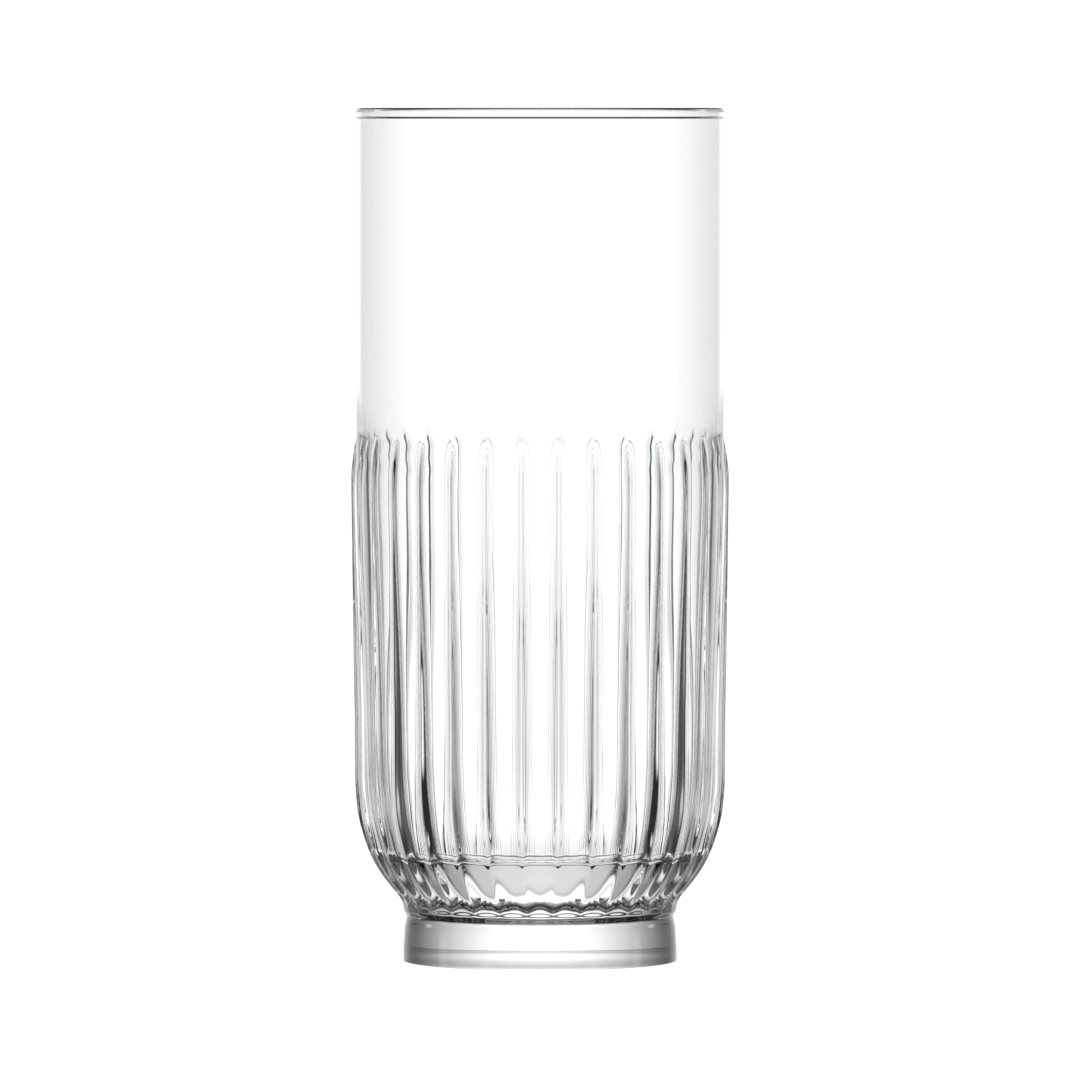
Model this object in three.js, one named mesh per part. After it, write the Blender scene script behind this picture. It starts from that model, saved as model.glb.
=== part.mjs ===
// Tall tumbler in clear glass: a plain upper wall with a rounded lip, a lower wall
// with vertical ribs, a thick base that curves in to a neck, and a round foot.
// Millimetres, +Z up. The origin is the middle of the circle that the foot stands on.
// The glass is made as five zones that meet face to face on level planes.
import * as THREE from "three";

// ---- driving dimensions ----------------------------------------------------
const HEIGHT = 156.5; // foot to lip
const WALL_R = 33.72; // outside of the plain upper wall
const BORE_R = 32.5; // inside of the plain upper wall
const LIP_R = 33.85; // fullest outside of the rounded lip
const LIP_BORE_R = 32.33; // fullest inside of the rounded lip
const LIP_LEVEL = 155.5; // level where the lip starts to round over
const SWELL_FROM = 154.5; // the wall swells into the lip from here
const SWELL_TO = 155.05; // to here

const FOOT_TOP = 8.2; // foot to neck
const BASE_TOP = 34.0; // thick base to ribbed wall
const RIBS_TOP = 97.0; // ribbed wall to plain wall
const RIM_BASE = 153.0; // plain wall to rim

const RIBS = 32; // ribs around the wall, with a panel facing the front
const RIB_PEAK = 0.22; // share of a sharper top in the section of a rib
const INNER_WAVE = 0.878; // shape of the ribs on the inside: 1 is a plain wave
const COVE = 0.583; // softness of the cove where the ribbed bowl meets the neck

const STAND_IN_R = 20.5; // inner edge of the flat ring that the foot stands on
const HOLLOW = 0.39; // depth of the shallow hollow under the foot
const FOOT_EDGE = 0.3; // small break of the foot's lower edge

const FLOOR = 18.07; // level of the floor inside, at its middle
const FLOOR_RISE = 1.716; // rise of the floor at a radius of 25 mm
const FLOOR_POWER = 1.92; // 2 is an even dish, more makes a flatter middle
const CORNER = 1.58; // radius between the floor and the wall

// Lines along the height as [level, value], joined by smooth curves.

// Outside along the crests of the ribs.
const CREST = [
  [7, 22.235],
  [9, 23.835],
  [11.3, 25.402],
  [12.96, 26.78],
  [14.07, 27.72],
  [16.3, 29.38],
  [18.5, 30.7],
  [20.7, 31.69],
  [22.9, 32.46],
  [25.1, 33.12],
  [27.3, 33.57],
  [29.55, 33.86],
  [32.3, 34.05],
  [35.1, 34.13],
  [40.6, 34.16],
  [46.1, 34.2],
  [51.7, 34.31],
  [57.2, 34.38],
  [62.7, 34.44],
  [68.2, 34.51],
  [73.8, 34.6],
  [79.3, 34.65],
  [84.8, 34.75],
  [87, 34.775],
  [88.65, 34.765],
  [90.3, 34.69],
  [91.4, 34.57],
  [92.5, 34.43],
  [93.6, 34.3],
  [94.7, 34.1],
  [95.8, 33.86],
  [96.6, 33.74],
  [97.6, 33.72],
  [99, 33.72],
  [110, 33.72],
  [157, 33.72],
];

// Depth of the panels between the ribs.
const RELIEF = [
  [7, 0.696],
  [11.5, 0.696],
  [16, 0.56],
  [22, 0.8],
  [30, 0.9],
  [38, 0.9],
  [50, 0.83],
  [59, 0.74],
  [70, 0.55],
  [77, 0.44],
  [84.8, 0.39],
  [87, 0.4],
  [88.65, 0.42],
  [90.3, 0.41],
  [91.4, 0.38],
  [92.5, 0.33],
  [93.6, 0.27],
  [94.7, 0.17],
  [95.8, 0.06],
  [96.6, 0.01],
  [97.6, 0],
  [99, 0],
  [112, 0],
  [157, 0],
];

// How narrow the ribs are: 1 is a plain wave, more makes a narrower rib.
const NARROWING = [
  [7, 1.167],
  [12, 1.167],
  [16, 1.2],
  [22, 1.8],
  [30, 3.2],
  [38, 4.2],
  [50, 5.2],
  [59, 6.2],
  [70, 8.6],
  [77, 11],
  [84, 12],
  [91, 10.5],
  [95, 9.5],
  [100, 9.5],
  [112, 9.5],
  [157, 9.5],
];

// Outside of the foot and the neck.
const NECK = [
  [0.6, 25.19],
  [1.5, 25.19],
  [2.6, 25.17],
  [4.1, 25.09],
  [5.6, 24.98],
  [7.2, 24.711],
  [8.3, 24.582],
  [9.2, 24.974],
  [10.2, 25.06],
  [11.4, 25.12],
  [13, 25.15],
  [20, 25.15],
  [30, 25.15],
  [157, 25.15],
];

// Inside of the wall over the panels.
const BORE = [
  [15, 26.1],
  [18, 27],
  [22, 27.75],
  [26, 28.42],
  [32, 29.5],
  [38, 30],
  [50, 30.3],
  [62.7, 30.75],
  [80, 31.4],
  [88, 31.72],
  [93, 31.98],
  [96, 32.14],
  [98.5, 32.26],
  [101, 32.36],
  [106, 32.47],
  [112, 32.5],
  [125, 32.5],
  [157, 32.5],
];

// How far the inside follows the ribs.
const INNER_RIBS = [
  [14, 0.044],
  [20, 0.146],
  [32, 0.152],
  [45, 0.12],
  [60, 0.04],
  [75, 0],
  [98, 0],
  [112, 0],
  [157, 0],
];

const PLAIN_STEPS = 64; // steps around the plain zones
const RIB_STEPS = RIBS * 6; // steps around the ribbed zones
const GATHER = 0.55; // how far those steps are gathered along the crests

// ---- shape -----------------------------------------------------------------
// A natural cubic spline through [level, value] points.
function spline(points) {
  const x = points.map((p) => p[0]);
  const y = points.map((p) => p[1]);
  const n = x.length;
  const bend = new Array(n).fill(0);
  const over = new Array(n).fill(0);
  const right = new Array(n).fill(0);
  for (let i = 1; i < n - 1; i++) {
    const before = x[i] - x[i - 1];
    const after = x[i + 1] - x[i];
    const pivot = 2 * (before + after) - before * over[i - 1];
    const turn =
      6 * ((y[i + 1] - y[i]) / after - (y[i] - y[i - 1]) / before);
    over[i] = after / pivot;
    right[i] = (turn - before * right[i - 1]) / pivot;
  }
  for (let i = n - 2; i > 0; i--) bend[i] = right[i] - over[i] * bend[i + 1];
  return (level) => {
    const q = Math.min(Math.max(level, x[0]), x[n - 1]);
    let i = 0;
    while (i < n - 2 && q > x[i + 1]) i++;
    const d = x[i + 1] - x[i];
    const u = x[i + 1] - q;
    const v = q - x[i];
    return (
      (bend[i] * u ** 3 + bend[i + 1] * v ** 3) / (6 * d) +
      (y[i] / d - (bend[i] * d) / 6) * u +
      (y[i + 1] / d - (bend[i + 1] * d) / 6) * v
    );
  };
}

const crest = spline(CREST);
const relief = spline(RELIEF);
const narrowing = spline(NARROWING);
const neck = spline(NECK);
const bore = spline(BORE);
const innerRibs = spline(INNER_RIBS);

const wave = (angle) => (1 - Math.cos(RIBS * angle)) / 2;

// Outside radius at an angle from the front and a level.
function outside(angle, level) {
  const f = Math.pow(wave(angle), narrowing(level));
  const rib = (1 - RIB_PEAK) * f + RIB_PEAK * f ** 5;
  const bowl = crest(level) - Math.max(relief(level), 0) * (1 - rib);
  const low = neck(level);
  return (bowl + low + Math.hypot(bowl - low, COVE)) / 2;
}

// Inside radius of the wall.
function inside(angle, level) {
  const ribs = Math.max(innerRibs(level), 0);
  return bore(level) + ribs * Math.pow(wave(angle), INNER_WAVE);
}

// A turned solid. Each profile point is [radius, level], or a function of the
// angle that gives them. The steps can be gathered along the crests of the ribs.
function turned(profile, steps, gather = 0) {
  const at = (p, angle) => (Array.isArray(p) ? p : p(angle));
  const points = profile.map((p) => new THREE.Vector2(...at(p, 0)));
  const geometry = new THREE.LatheGeometry(points, steps);
  const position = geometry.getAttribute("position");
  for (let i = 0; i <= steps; i++) {
    const turn = ((i % steps) / steps) * Math.PI * 2;
    const angle = turn + (gather * Math.sin(RIBS * turn)) / RIBS;
    profile.forEach((p, j) => {
      const [r, level] = at(p, angle);
      const k = i * profile.length + j;
      position.setXYZ(k, r * Math.sin(angle), level, r * Math.cos(angle));
    });
  }
  geometry.rotateX(Math.PI / 2);
  geometry.computeVertexNormals();
  return geometry;
}

const outer = (level) => (angle) => [outside(angle, level), level];
const inner = (level) => (angle) => [inside(angle, level), level];

const glass = (color) =>
  new THREE.MeshStandardMaterial({
    color,
    roughness: 0.03,
    metalness: 0,
    transparent: true,
    opacity: 0.35,
  });

const tumbler = new THREE.Group();
function zone(name, geometry, color) {
  const mesh = new THREE.Mesh(geometry, glass(color));
  mesh.name = name;
  tumbler.add(mesh);
}

// ---- foot ------------------------------------------------------------------
const hollow = [0, 6, 11, 15, 18].map((r) => [
  r,
  HOLLOW * Math.pow(1 - (r / STAND_IN_R) ** 2, 1.5),
]);
zone(
  "foot",
  turned(
    [
      ...hollow,
      [STAND_IN_R, 0],
      [outside(0, FOOT_EDGE) - FOOT_EDGE, 0],
      ...[FOOT_EDGE, 1.2, 2.6, 4.1, 5.6, 6.6, 7.4, FOOT_TOP].map((z) => [
        outside(0, z),
        z,
      ]),
      [0, FOOT_TOP],
    ],
    PLAIN_STEPS,
  ),
  0xf2f6f6,
);

// ---- thick base, ribbed outside, with the floor inside -------------------------
const floorAt = (r) => FLOOR + FLOOR_RISE * Math.pow(r / 25, FLOOR_POWER);
// The corner between floor and wall, from 0 at the wall to 1 at the floor.
function corner(part) {
  const turn = (part * Math.PI) / 2;
  const rise = CORNER * (1 - Math.sin(turn));
  return (angle) => {
    let level = FLOOR + FLOOR_RISE + rise;
    let r = 0;
    for (let k = 0; k < 4; k++) {
      const slope = (bore(level + 1e-3) - bore(level - 1e-3)) / 2e-3;
      const off = Math.hypot(1, slope) * CORNER * (1 - Math.cos(turn));
      r = inside(angle, level) - off;
      level = floorAt(r) + rise;
    }
    return [r, level];
  };
}
zone(
  "bowl_base",
  turned(
    [
      [0, FOOT_TOP],
      ...[
        8.2, 8.9, 9.6, 10.2, 10.8, 11.4, 12.1, 13.0, 14.2, 16.2, 18.7, 21.6,
        25.0, 29.2, 34.0,
      ].map(outer),
      ...[34.0, 30.5, 27.0, 23.5].map(inner),
      ...[0, 0.35, 0.68, 1].map(corner),
      ...[21, 15, 8].map((r) => [r, floorAt(r)]),
      [0, FLOOR],
    ],
    RIB_STEPS,
    GATHER,
  ),
  0xeef3f3,
);

// ---- ribbed wall -------------------------------------------------------------
zone(
  "fluted_wall",
  turned(
    [
      ...[34, 42, 52, 63, 75, 84, 88, 90.5, 92.5, 94, 95.4, 97].map(outer),
      ...[97, 93, 88, 80, 70, 60, 50, 42, 37, 34].map(inner),
      outer(34),
    ],
    RIB_STEPS,
    GATHER,
  ),
  0xf0f5f5,
);

// ---- plain wall --------------------------------------------------------------
zone(
  "upper_wall",
  turned(
    [
      [WALL_R, RIBS_TOP],
      [WALL_R, RIM_BASE],
      [BORE_R, RIM_BASE],
      ...[112, 106, 101, RIBS_TOP].map((z) => [bore(z), z]),
      [WALL_R, RIBS_TOP],
    ],
    PLAIN_STEPS,
  ),
  0xf6f9f9,
);

// ---- rounded rim -------------------------------------------------------------
const lipMiddle = (LIP_R + LIP_BORE_R) / 2;
const lipHalf = (LIP_R - LIP_BORE_R) / 2;
const lip = [];
for (let k = 0; k <= 6; k++) {
  const a = (k / 6) * Math.PI;
  lip.push([
    lipMiddle + lipHalf * Math.cos(a),
    LIP_LEVEL + (HEIGHT - LIP_LEVEL) * Math.sin(a),
  ]);
}
zone(
  "rim",
  turned(
    [
      [WALL_R, RIM_BASE],
      [WALL_R, SWELL_FROM],
      [LIP_R, SWELL_TO],
      ...lip,
      [LIP_BORE_R, SWELL_TO],
      [BORE_R, SWELL_FROM],
      [BORE_R, RIM_BASE],
      [WALL_R, RIM_BASE],
    ],
    PLAIN_STEPS,
  ),
  0xf8fbfb,
);

export default tumbler;
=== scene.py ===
import math

import bpy
import numpy as np
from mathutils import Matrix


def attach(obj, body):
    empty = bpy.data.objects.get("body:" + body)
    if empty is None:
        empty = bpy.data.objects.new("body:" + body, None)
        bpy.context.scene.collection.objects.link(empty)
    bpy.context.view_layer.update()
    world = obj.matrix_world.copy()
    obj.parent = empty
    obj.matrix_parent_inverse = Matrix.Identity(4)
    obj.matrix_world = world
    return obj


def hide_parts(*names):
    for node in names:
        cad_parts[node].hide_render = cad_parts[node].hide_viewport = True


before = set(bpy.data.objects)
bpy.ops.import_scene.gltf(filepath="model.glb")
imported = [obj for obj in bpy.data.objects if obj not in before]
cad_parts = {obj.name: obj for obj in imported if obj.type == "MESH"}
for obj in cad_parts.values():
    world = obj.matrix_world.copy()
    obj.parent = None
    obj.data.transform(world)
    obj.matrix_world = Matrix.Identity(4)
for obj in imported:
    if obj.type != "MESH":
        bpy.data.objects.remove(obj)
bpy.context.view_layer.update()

# =============================================================================
# Shape of the glass, in millimetres. Angles run from the front (-Y) towards +X.
# =============================================================================
RIBS = 32
AROUND = RIBS * 24

FOOT_TOP = 8.2
BASE_TOP = 34.0
RIBS_TOP = 97.0
RIM_BASE = 153.0
HEIGHT = 156.5

WALL_R, BORE_R = 33.72, 32.5
LIP_LEVEL, LIP_R, LIP_BORE_R = 155.5, 33.85, 32.33
SWELL_FROM, SWELL_TO = 154.5, 155.05
STAND_IN_R, HOLLOW, EDGE = 20.5, 0.39, 0.02
FLOOR, FLOOR_RISE, FLOOR_POWER, CORNER = 18.07, 1.716, 1.92, 1.58
BLEND, WAVE_POWER, PEAK = 0.583, 0.878, 0.22


def spline(points):
    """A natural cubic spline through (x, y) points, straight outside them."""
    x, y = (np.array(v, float) for v in zip(*sorted(points)))
    n = len(x)
    h = np.diff(x)
    a = np.zeros((n, n))
    b = np.zeros(n)
    a[0, 0] = a[-1, -1] = 1
    for i in range(1, n - 1):
        a[i, i - 1 : i + 2] = h[i - 1], 2 * (h[i - 1] + h[i]), h[i]
        b[i] = 6 * ((y[i + 1] - y[i]) / h[i] - (y[i] - y[i - 1]) / h[i - 1])
    m = np.linalg.solve(a, b)

    def value(q):
        q = np.asarray(q, float)
        i = np.clip(np.searchsorted(x, q) - 1, 0, n - 2)
        t = np.clip(q, x[0], x[-1])
        u, v, d = x[i + 1] - t, t - x[i], h[i]
        s = (m[i] * u**3 + m[i + 1] * v**3) / (6 * d)
        s = s + (y[i] / d - m[i] * d / 6) * u + (y[i + 1] / d - m[i + 1] * d / 6) * v
        low = (y[1] - y[0]) / h[0] - h[0] * m[1] / 6
        high = (y[-1] - y[-2]) / h[-1] + h[-1] * m[-2] / 6
        return s + np.where(q < x[0], low * (q - x[0]), 0) + np.where(
            q > x[-1], high * (q - x[-1]), 0
        )

    return value


# Outside along the crests of the ribs.
crest = spline([
    (7, 22.235), (9, 23.835), (11.3, 25.402), (12.96, 26.78), (14.07, 27.72), (16.3, 29.38), (18.5, 30.7),
    (20.7, 31.69), (22.9, 32.46), (25.1, 33.12), (27.3, 33.57), (29.55, 33.86), (32.3, 34.05), (35.1, 34.13),
    (40.6, 34.16), (46.1, 34.2), (51.7, 34.31), (57.2, 34.38), (62.7, 34.44), (68.2, 34.51), (73.8, 34.6),
    (79.3, 34.65), (84.8, 34.75), (87.0, 34.775), (88.65, 34.765), (90.3, 34.69), (91.4, 34.57), (92.5, 34.43),
    (93.6, 34.3), (94.7, 34.1), (95.8, 33.86), (96.6, 33.74), (97.6, 33.72), (99, 33.72), (110, 33.72), (157, 33.72),
])
# Depth of the panels between the ribs, and how narrow the ribs are.
relief = spline([
    (7, 0.696), (11.5, 0.696), (16, 0.56), (22, 0.8), (30, 0.9), (38, 0.9), (50, 0.83), (59, 0.74),
    (70, 0.55), (77, 0.44), (84.8, 0.39), (87, 0.4), (88.65, 0.42), (90.3, 0.41), (91.4, 0.38), (92.5, 0.33),
    (93.6, 0.27), (94.7, 0.17), (95.8, 0.06), (96.6, 0.01), (97.6, 0), (99, 0), (112, 0), (157, 0),
])
narrow = spline([
    (7, 1.167), (12, 1.167), (16, 1.2), (22, 1.8), (30, 3.2), (38, 4.2), (50, 5.2), (59, 6.2), (70, 8.6), (77, 11.0),
    (84, 12.0), (91, 10.5), (95, 9.5), (100, 9.5), (112, 9.5), (157, 9.5),
])
# Outside of the neck and the foot.
neck = spline([
    (0.6, 25.19), (1.5, 25.19), (2.6, 25.17), (4.1, 25.09), (5.6, 24.98),
    (7.2, 24.711), (8.3, 24.582), (9.2, 24.974), (10.2, 25.06), (11.4, 25.12), (13, 25.15), (20, 25.15), (30, 25.15),
    (157, 25.15),
])
# Inside of the wall over the panels, and how far it follows the ribs.
bore = spline([
    (15, 26.1), (18, 27.0), (22, 27.75), (26, 28.42), (32, 29.5), (38, 30.0), (50, 30.3), (62.7, 30.75),
    (80, 31.4), (88, 31.72), (93, 31.98), (96, 32.14), (98.5, 32.26), (101, 32.36), (106, 32.47), (112, 32.5), (125, 32.5),
    (157, 32.5),
])
follow = spline([
    (14, 0.044), (20, 0.146), (32, 0.152), (45, 0.12), (60, 0.04), (75, 0.0), (98, 0), (112, 0), (157, 0),
])


def wave(angle):
    """0 along the panels, 1 along the ribs."""
    return (1 - np.cos(RIBS * angle)) / 2 + 1e-9


def rib(angle, z):
    """0 along the panels, 1 along the crests: a rounded rib with a slightly sharper top."""
    f = np.power(wave(angle), narrow(z))
    return (1 - PEAK) * f + PEAK * f**5


def outside(angle, z):
    bowl = crest(z) - np.maximum(relief(z), 0.0) * (1 - rib(angle, z))
    low = neck(z)
    return 0.5 * (bowl + low + np.sqrt((bowl - low) ** 2 + BLEND * BLEND))


def wall_inside(angle, z):
    return bore(z) + np.maximum(follow(z), 0.0) * np.power(wave(angle), WAVE_POWER)


def inside(angle, s):
    """Radius and level on the inside: s is the level above the corner, 0 to -1 round the corner, -1 to -2 over the floor."""
    if s > 0:
        return wall_inside(angle, s), s + 0 * angle
    q = min(-s, 1.0) * math.pi / 2
    # the level round the corner, where the floor's own level depends a little on the radius
    z = FLOOR + FLOOR_RISE + CORNER * (1 - math.sin(q)) + 0 * angle
    for _ in range(4):
        slope = (bore(z + 1e-3) - bore(z - 1e-3)) / 2e-3
        r = wall_inside(angle, z) - np.sqrt(1 + slope * slope) * CORNER * (1 - math.cos(q))
        z = FLOOR + FLOOR_RISE * (r / 25) ** FLOOR_POWER + CORNER * (1 - math.sin(q))
    if s < -1:
        r = r * (2 + s)
        z = FLOOR + FLOOR_RISE * (r / 25) ** FLOOR_POWER
    return r, z


CORNER_TOP = float(np.max(inside(np.zeros(1), 0.0)[1]))


# =============================================================================
# One continuous grid of rows, each a ring of points with normals, from the
# middle of the underside, up the outside, over the lip and down to the floor.
# =============================================================================
turn = np.arange(AROUND) / AROUND * 2 * np.pi
angles = turn + 0.55 * np.sin(RIBS * turn) / RIBS  # closer together along the crests
sin_a, cos_a = np.sin(angles), np.cos(angles)


def ring_of(r, z):
    r = np.broadcast_to(r, angles.shape)
    return np.stack([r * sin_a, -r * cos_a, np.broadcast_to(z, angles.shape)], 1)


def ring_normal(nr, nz):
    n = np.stack([nr * sin_a, -nr * cos_a, np.full_like(angles, nz)], 1)
    return n / np.linalg.norm(n, axis=1)[:, None]


def outside_row(z):
    e = 1e-4
    z_row = np.full_like(angles, z)
    r = outside(angles, z_row)
    ra = (outside(angles + e, z_row) - outside(angles - e, z_row)) / (2 * e)
    rz = (outside(angles, z_row + 1e-3) - outside(angles, z_row - 1e-3)) / 2e-3
    pa = np.stack([ra * sin_a + r * cos_a, -ra * cos_a + r * sin_a, 0 * r], 1)
    pz = np.stack([rz * sin_a, -rz * cos_a, np.ones_like(r)], 1)
    n = np.cross(pa, pz)
    return ring_of(r, z), n / np.linalg.norm(n, axis=1)[:, None]


def inside_row(s):
    e, d = 1e-4, 1e-3
    r, z = inside(angles, s)
    (ra1, za1), (ra0, za0) = inside(angles + e, s), inside(angles - e, s)
    ra, za = (ra1 - ra0) / (2 * e), (za1 - za0) / (2 * e)
    top, low = (1e9, 1e-6) if s > 0 else (0.0, -1.0) if s >= -1 else (-1.0, -2.0)
    (r1, z1), (r0, z0) = inside(angles, min(s + d, top)), inside(angles, max(s - d, low))
    rs, zs = r1 - r0, z1 - z0
    pa = np.stack([ra * sin_a + r * cos_a, -ra * cos_a + r * sin_a, za], 1)
    ps = np.stack([rs * sin_a, -rs * cos_a, zs], 1)
    n = np.cross(ps, pa)
    return ring_of(r, z), n / np.linalg.norm(n, axis=1)[:, None]


def levels(*stops):
    """Levels from stop to stop, each stop (level, spacing up to the next one)."""
    out = []
    for (z0, step), (z1, _) in zip(stops[:-1], stops[1:]):
        k = max(1, round(abs(z1 - z0) / step))
        out += [z0 + (z1 - z0) * i / k for i in range(k)]
    return out + [stops[-1][0]]


def underside():
    rows = []
    for r in [2.0, 5.0, 8.0, 11.0, 13.5, 15.5, 17.0, 18.2, 19.2, 20.0]:
        t = r / STAND_IN_R
        z = HOLLOW * (1 - t * t) ** 1.5
        dz = HOLLOW * 1.5 * math.sqrt(1 - t * t) * (-2 * t / STAND_IN_R)
        rows.append((ring_of(r, z), ring_normal(dz, -1.0)))
    out_r = float(neck(EDGE))
    for r in (STAND_IN_R, 22.2, out_r - EDGE):
        rows.append((ring_of(r, 0.0), ring_normal(0.0, -1.0)))
    for k in range(1, 14):
        q = (1 - k / 14) * math.pi / 2
        rows.append((
            ring_of(out_r - EDGE + EDGE * math.cos(q), EDGE * (1 - math.sin(q))),
            ring_normal(math.cos(q), -math.sin(q)),
        ))
    return rows


def lip():
    rows = []
    mid, half, high = (LIP_R + LIP_BORE_R) / 2, (LIP_R - LIP_BORE_R) / 2, HEIGHT - LIP_LEVEL
    # the short swell from the wall into the lip, outside and inside
    steps = levels((RIM_BASE, 0.75), (SWELL_FROM, 0.046), (SWELL_TO, 0.15), (LIP_LEVEL, 1))

    def swell(z):
        t = min(max((z - SWELL_FROM) / (SWELL_TO - SWELL_FROM), 0.0), 1.0)
        return t * t * t * (t * (6 * t - 15) + 10), 30 * t * t * (t - 1) ** 2 / (SWELL_TO - SWELL_FROM)

    for z in steps:
        s, ds = swell(z)
        rows.append((ring_of(WALL_R + (LIP_R - WALL_R) * s, z), ring_normal(1.0, -(LIP_R - WALL_R) * ds)))
    for k in range(1, 24):
        q = k / 24 * math.pi
        rows.append((
            ring_of(mid + half * math.cos(q), LIP_LEVEL + high * math.sin(q)),
            ring_normal(math.cos(q) / half, math.sin(q) / high),
        ))
    for z in reversed(steps):
        s, ds = swell(z)
        rows.append((ring_of(BORE_R - (BORE_R - LIP_BORE_R) * s, z), ring_normal(-1.0, -(BORE_R - LIP_BORE_R) * ds)))
    return rows


foot_out = underside() + [outside_row(z) for z in levels((EDGE, 0.4), (6.0, 0.2), (FOOT_TOP, 1))]
base_out = [outside_row(z) for z in levels((FOOT_TOP, 0.2), (15.0, 0.5), (BASE_TOP, 1))]
wall_out = [outside_row(z) for z in levels((BASE_TOP, 1.6), (84.0, 0.35), (RIBS_TOP, 1))]
plain_out = [outside_row(z) for z in levels((RIBS_TOP, 0.3), (99.0, 6.0), (RIM_BASE, 1))]
rim_all = lip()
plain_in = [inside_row(z) for z in levels((RIM_BASE, 6.0), (99.5, 0.5), (RIBS_TOP, 1))]
wall_in = [inside_row(z) for z in levels((RIBS_TOP, 0.5), (84.0, 1.6), (BASE_TOP, 1))]
base_in = [inside_row(z) for z in levels((BASE_TOP, 0.65), (CORNER_TOP + 0.5, 1))]
base_in += [inside_row(-k / 14) for k in range(0, 15)] + [inside_row(-1 - k / 16) for k in range(1, 16)]


# =============================================================================
# Pieces
# =============================================================================
def piece(name, out_rows, in_rows=None, low_pole=None, high_pole=None):
    """A closed solid from rows of rings. Its flat joining faces get the second material.
    low_pole or high_pole is (level, normal z, joins) of a point on the axis that closes an end."""
    rows = list(out_rows) + list(in_rows or [])
    n_out = len(out_rows)
    verts = np.concatenate([p for p, _ in rows])
    norms = np.concatenate([n for _, n in rows])
    faces, face_norm, slots = [], [], []
    i = np.arange(AROUND)
    j = (i + 1) % AROUND

    def band(a, b, joins, nz=0.0):
        quads = np.stack([a * AROUND + i, a * AROUND + j, b * AROUND + j, b * AROUND + i], 1)
        faces.extend(quads.tolist())
        face_norm.extend([nz if joins else None] * AROUND)
        slots.extend([1 if joins else 0] * AROUND)

    for k in range(len(rows) - 1):
        joins = in_rows is not None and k == n_out - 1
        band(k, k + 1, joins, 1.0)
    if low_pole is None:
        band(len(rows) - 1, 0, True, -1.0)
    extra_v, extra_n = [], []
    for pole, at, flip in ((low_pole, 0, True), (high_pole, len(rows) - 1, False)):
        if pole is None:
            continue
        level, nz, joins = pole
        c = len(verts) + len(extra_v)
        extra_v.append((0.0, 0.0, level))
        extra_n.append((0.0, 0.0, nz))
        tri = np.stack([at * AROUND + j, at * AROUND + i, np.full(AROUND, c)], 1)
        if not flip:
            tri = tri[:, [1, 0, 2]]
        faces.extend(tri.tolist())
        face_norm.extend([nz if joins else None] * AROUND)
        slots.extend([1 if joins else 0] * AROUND)
    if extra_v:
        verts = np.concatenate([verts, extra_v])
        norms = np.concatenate([norms, extra_n])
    mesh = bpy.data.meshes.new(name)
    mesh.from_pydata((verts * 0.001).tolist(), [], faces)
    mesh.polygons.foreach_set("use_smooth", np.ones(len(faces), bool))
    mesh.polygons.foreach_set("material_index", np.array(slots, np.int32))
    loops = np.empty(len(mesh.loops), np.int32)
    mesh.loops.foreach_get("vertex_index", loops)
    loop_norm = norms[loops]
    k = 0
    for f, nz in zip(faces, face_norm):
        if nz is not None:
            loop_norm[k : k + len(f)] = (0.0, 0.0, nz)
        k += len(f)
    mesh.update()
    mesh.normals_split_custom_set(loop_norm.tolist())
    obj = bpy.data.objects.new(name, mesh)
    bpy.context.scene.collection.objects.link(obj)
    return obj


# The first row of each band above a joining plane repeats the last row below it, so the surface runs on unbroken.
foot = piece("foot_glass", foot_out, None, (HOLLOW, -1.0, False), (FOOT_TOP, 1.0, True))
base = piece("base_glass", base_out, base_in, (FOOT_TOP, -1.0, True), (FLOOR, 1.0, False))
wall = piece("ribbed_glass", wall_out, wall_in)
plain = piece("plain_glass", plain_out, plain_in)
rim = piece("rim_glass", rim_all)
pieces = {foot: "foot", base: "bowl_base", wall: "fluted_wall", plain: "upper_wall", rim: "rim"}


# =============================================================================
# Materials
# =============================================================================
def glass_material(name):
    """Clear pressed glass: faint upright drawing lines, slightly uneven polish and a trace of tint."""
    mat = bpy.data.materials.new(name)
    mat.use_nodes = True
    tree = mat.node_tree
    bsdf = tree.nodes["Principled BSDF"]
    bsdf.inputs["Transmission Weight"].default_value = 1.0
    bsdf.inputs["IOR"].default_value = 1.52

    def node(kind, **values):
        n = tree.nodes.new(kind)
        for key, value in values.items():
            n.inputs[key].default_value = value
        return n

    where = tree.nodes.new("ShaderNodeTexCoord")

    def noise(stretch, scale, detail):
        place = node("ShaderNodeMapping", Scale=stretch)
        tree.links.new(where.outputs["Object"], place.inputs["Vector"])
        n = node("ShaderNodeTexNoise", Scale=scale, Detail=detail)
        tree.links.new(place.outputs[0], n.inputs["Vector"])
        return n.outputs[0]

    # drawing lines: fine across the glass, long along its height
    lines = node("ShaderNodeBump", Strength=1.0, Distance=LINE_DEPTH)
    tree.links.new(noise((1.0, 1.0, 0.05), 420.0, 1.0), lines.inputs["Height"])
    tree.links.new(lines.outputs[0], bsdf.inputs["Normal"])
    # polish
    polish = node("ShaderNodeMapRange")
    polish.inputs["From Min"].default_value, polish.inputs["From Max"].default_value = 0.3, 0.7
    polish.inputs["To Min"].default_value, polish.inputs["To Max"].default_value = 0.0, 0.012
    tree.links.new(noise((1.0, 1.0, 0.5), 90.0, 3.0), polish.inputs["Value"])
    tree.links.new(polish.outputs[0], bsdf.inputs["Roughness"])
    # tint
    tint = tree.nodes.new("ShaderNodeValToRGB")
    tint.color_ramp.elements[0].position, tint.color_ramp.elements[1].position = 0.35, 0.65
    tint.color_ramp.elements[0].color = (0.988, 0.994, 0.992, 1.0)
    tint.color_ramp.elements[1].color = (1.0, 1.0, 1.0, 1.0)
    tree.links.new(noise((1.0, 1.0, 0.4), 35.0, 2.0), tint.inputs[0])
    tree.links.new(tint.outputs[0], bsdf.inputs["Base Color"])
    return mat


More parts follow.
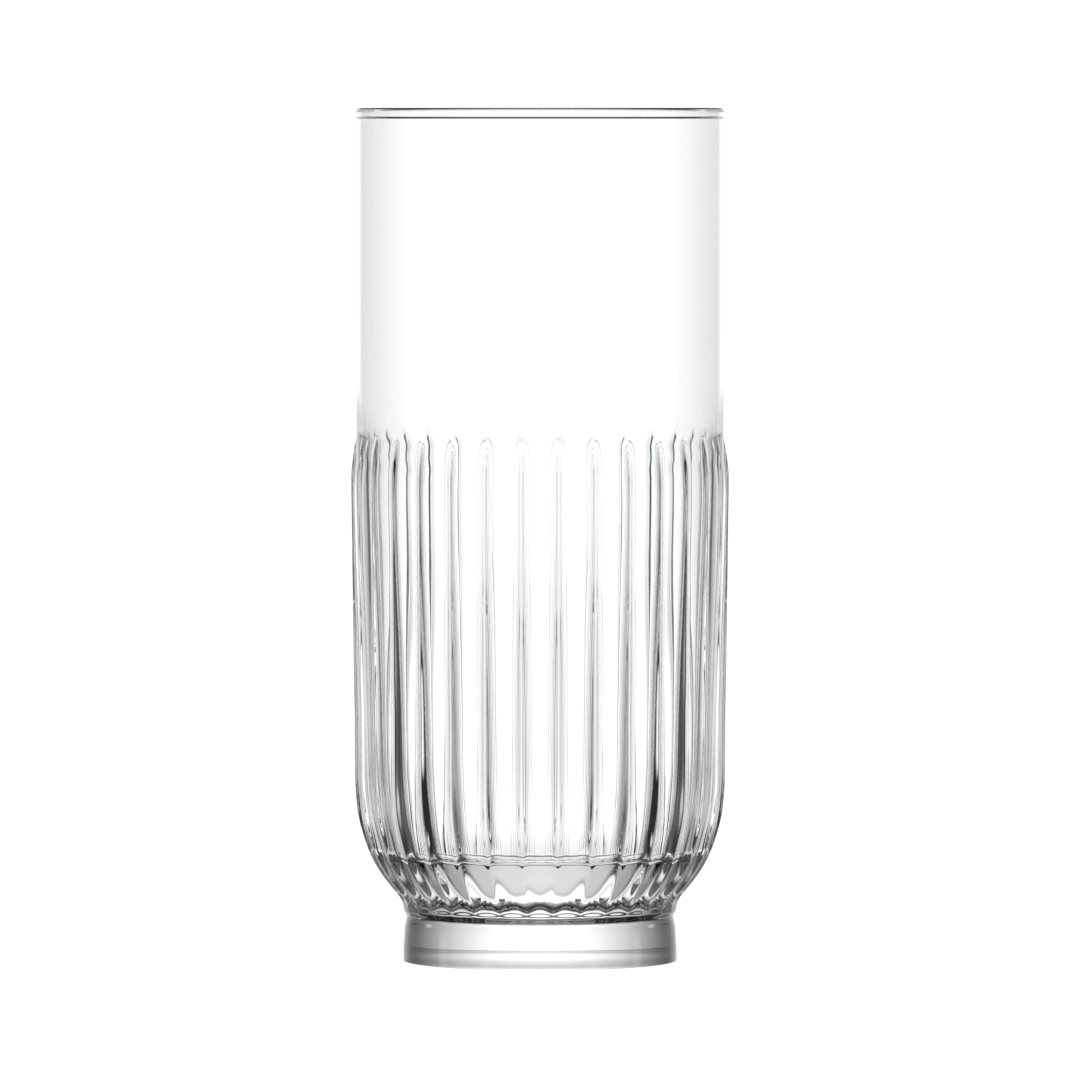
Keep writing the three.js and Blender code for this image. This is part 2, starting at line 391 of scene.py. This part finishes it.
LINE_DEPTH = 0.000004
clear = glass_material("clear_glass")
weld = bpy.data.materials.new("glass_join")
weld.use_nodes = True
wt = weld.node_tree
wt.nodes.remove(wt.nodes["Principled BSDF"])
through = wt.nodes.new("ShaderNodeBsdfTransparent")
wt.links.new(through.outputs[0], wt.nodes["Material Output"].inputs["Surface"])

for obj, node in pieces.items():
    obj.data.materials.append(clear)
    obj.data.materials.append(weld)
    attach(obj, "root")
    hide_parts(node)

# =============================================================================
# Stage: a plain white floor that runs into a white backdrop
# =============================================================================
def stage_material(name, level, glow):
    mat = bpy.data.materials.new(name)
    mat.use_nodes = True
    shader = mat.node_tree.nodes["Principled BSDF"]
    shader.inputs["Base Color"].default_value = (level, level, level, 1.0)
    shader.inputs["Roughness"].default_value = 0.9
    shader.inputs["Specular IOR Level"].default_value = 0.0
    shader.inputs["Emission Color"].default_value = (1.0, 1.0, 1.0, 1.0)
    shader.inputs["Emission Strength"].default_value = glow
    return mat


bpy.ops.mesh.primitive_circle_add(vertices=96, radius=5.0, fill_type="NGON", location=(0, 0, -0.0001))
ground = bpy.context.object
ground.name = "floor"
ground.data.materials.append(stage_material("floor_white", 0.9, 1.0))
bpy.ops.mesh.primitive_uv_sphere_add(segments=64, ring_count=32, radius=5.0, location=(0, 0, 0))
sweep = bpy.context.object
sweep.name = "backdrop"
sweep.data.materials.append(stage_material("backdrop_white", 0.0, 1.05))
for obj in (ground, sweep):
    obj.visible_transmission = False
    obj.visible_glossy = False
sweep.visible_diffuse = False
sweep.visible_shadow = False

# =============================================================================
# Studio light: a tall soft panel behind the glass, dark sides, a white table below
# =============================================================================
world = bpy.data.worlds.new("studio")
bpy.context.scene.world = world
world.use_nodes = True
nt = world.node_tree
nt.nodes.clear()
out = nt.nodes.new("ShaderNodeOutputWorld")
back = nt.nodes.new("ShaderNodeBackground")
nt.links.new(back.outputs[0], out.inputs["Surface"])
coord = nt.nodes.new("ShaderNodeTexCoord")
sep = nt.nodes.new("ShaderNodeSeparateXYZ")
nt.links.new(coord.outputs["Generated"], sep.inputs[0])


def maths(op, a, b=None, c=None, clamp=False):
    n = nt.nodes.new("ShaderNodeMath")
    n.operation = op
    n.use_clamp = clamp
    for k, v in enumerate((a, b, c)):
        if v is None:
            continue
        if isinstance(v, (int, float)):
            n.inputs[k].default_value = v
        else:
            nt.links.new(v, n.inputs[k])
    return n.outputs[0]


def curve(value, stops, top=1.0):
    """A piecewise straight function of a socket, by a colour ramp over 0..top."""
    n = nt.nodes.new("ShaderNodeValToRGB")
    n.color_ramp.interpolation = "LINEAR"
    e = n.color_ramp.elements
    e[0].position, e[1].position = stops[0][0] / top, stops[-1][0] / top
    e[0].color = (stops[0][1],) * 3 + (1.0,)
    e[1].color = (stops[-1][1],) * 3 + (1.0,)
    for at, level in stops[1:-1]:
        e.new(at / top).color = (level,) * 3 + (1.0,)
    nt.links.new(maths("DIVIDE", value, top), n.inputs[0])
    return n.outputs[0]


x, y, z = sep.outputs["X"], sep.outputs["Y"], sep.outputs["Z"]
# The light behind is wide and low: its level falls with the angle from +Y, faster upwards than sideways.
GLOW, FLAT_UP, FLAT_DOWN = 1.25, 0.26, 1.25
SIDE, FRONT, ABOVE, BELOW = 0.02, 0.06, 0.2, 1.0
TABLE = 0.64
LAMPS = [
    ((0.641, 0.641, -0.423), 0.07, 0.16, 1.0),
    ((0.641, 0.641, 0.423), 0.05, 0.13, 0.5),
    ((0.683, -0.683, -0.259), 0.07, 0.16, 0.85),
    ((0.9986, 0.0, -0.052), 0.045, 0.11, 0.95),
]
off_axis = maths("ARCCOSINE", y)
squeeze = maths("ADD", 1 / FLAT_DOWN, maths("MULTIPLY", maths("GREATER_THAN", z, 0.0), 1 / FLAT_UP - 1 / FLAT_DOWN))
x2, z2 = maths("MULTIPLY", x, x), maths("MULTIPLY", z, z)
around = maths("MAXIMUM", maths("ADD", x2, z2), 1e-9)
squeezed = maths("ADD", x2, maths("MULTIPLY", z2, maths("MULTIPLY", squeeze, squeeze)))
seen = maths("MULTIPLY", off_axis, maths("SQRT", maths("DIVIDE", squeezed, around)))
glow = maths("MULTIPLY", curve(maths("DIVIDE", seen, math.pi, clamp=True), [(d / 180, v) for d, v in (
    (0, 1.0), (10, 0.97), (15, 0.9), (20, 0.79), (26, 0.64), (30, 0.55), (34, 0.46), (39, 0.35), (45, 0.25), (52, 0.16),
    (57, 0.11), (63, 0.07), (71, 0.04), (80, 0.015), (90, 0.0), (180, 0.0),
)]), GLOW)
dark = curve(maths("DIVIDE", off_axis, math.pi), [(0.0, SIDE), (110 / 180, SIDE), (140 / 180, FRONT), (1.0, FRONT)])


def blend(a, level, t):
    return maths("ADD", a, maths("MULTIPLY", maths("SUBTRACT", level, a), t))


dark = blend(dark, ABOVE, maths("MULTIPLY_ADD", z, 1 / 0.3, -2.0, clamp=True))
dark = blend(dark, BELOW, maths("MULTIPLY_ADD", z, -1 / 0.25, -TABLE / 0.25, clamp=True))
light = maths("MAXIMUM", glow, dark)
# Smaller upright lights, alike on the left and the right: (|x|, y, z), where it starts and ends to fade, level.
beside = maths("ABSOLUTE", x)
for at, full, zero, level in LAMPS:
    dx, dy, dz = maths("SUBTRACT", beside, at[0]), maths("SUBTRACT", y, at[1]), maths("SUBTRACT", z, at[2])
    flat = maths("MULTIPLY_ADD", dx, dx, maths("MULTIPLY", dy, dy))
    away = maths("SQRT", maths("ADD", flat, maths("MULTIPLY", maths("MULTIPLY", dz, dz), 0.25)))
    t = maths("MULTIPLY_ADD", away, -1 / (zero - full), zero / (zero - full), clamp=True)
    t = maths("MULTIPLY", maths("MULTIPLY", t, t), maths("MULTIPLY_ADD", t, -2.0, 3.0))
    light = maths("MAXIMUM", light, maths("MULTIPLY", t, level))
nt.links.new(light, back.inputs["Strength"])
back.inputs["Color"].default_value = (1.0, 1.0, 1.0, 1.0)

# =============================================================================
# Camera at the photograph's viewing angle
# =============================================================================
cam = bpy.data.cameras.new("camera")
cam.sensor_width = 36.0
cam.lens = 10613.0 / 1080.0 * 36.0
cam.clip_end = 50.0
camera = bpy.data.objects.new("camera", cam)
camera.location = (0.0, -1.947, 0.1556)
camera.rotation_euler = (math.radians(90.0 - 2.3047), 0.0, 0.0)
bpy.context.scene.collection.objects.link(camera)
bpy.context.scene.camera = camera

scene = bpy.context.scene
scene.view_settings.view_transform = "Standard"
scene.cycles.max_bounces = 12
scene.cycles.transmission_bounces = 12
scene.cycles.glossy_bounces = 12
scene.cycles.transparent_max_bounces = 64

bpy.context.view_layer.update()
